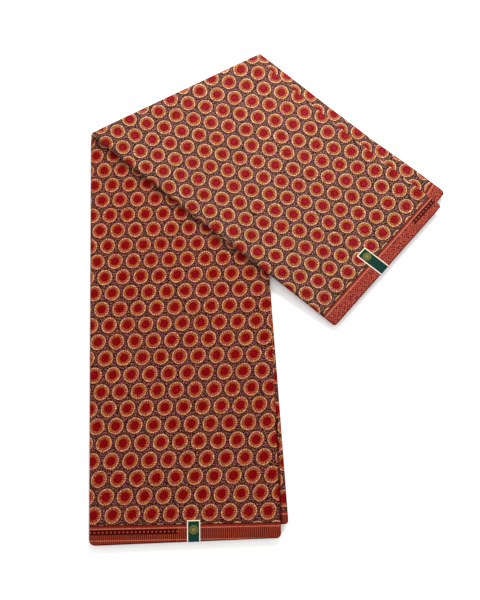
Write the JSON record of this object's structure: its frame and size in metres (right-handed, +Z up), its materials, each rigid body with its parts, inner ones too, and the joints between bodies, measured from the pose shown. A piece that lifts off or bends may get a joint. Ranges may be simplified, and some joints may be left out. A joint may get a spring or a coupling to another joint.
{
  "type": "ankara fabric",
  "caption": "Length of wax-print cotton folded to and fro into a flat strip and folded over once on a slant, with paper labels stuck over its end selvedges.",
  "frame": {"origin": "centre of the bottom of the bounding box, on the surface that the cloth rests on", "axes": "+Z up; +Y along the lower limb, from its free end towards the slanting fold; +X towards the side on which the upper limb runs off"},
  "size_m": [0.5869, 0.7888, 0.0184],
  "materials": {
    "wax_print": "printed cotton, slightly waxy",
    "cloth_edges": "folds and selvedges of printed cotton",
    "label_paper": "printed paper, satin"
  },
  "bodies": {
    "root": {"lower_leaves": "cloth_edges", "turn_leaves": "cloth_edges", "upper_leaves": "cloth_edges", "lower_under_leaf": "wax_print", "upper_under_leaf": "wax_print", "lower_top_leaf": "wax_print", "upper_top_leaf": "wax_print", "lower_label": "label_paper", "upper_label": "label_paper"}
  },
  "joints": []
}
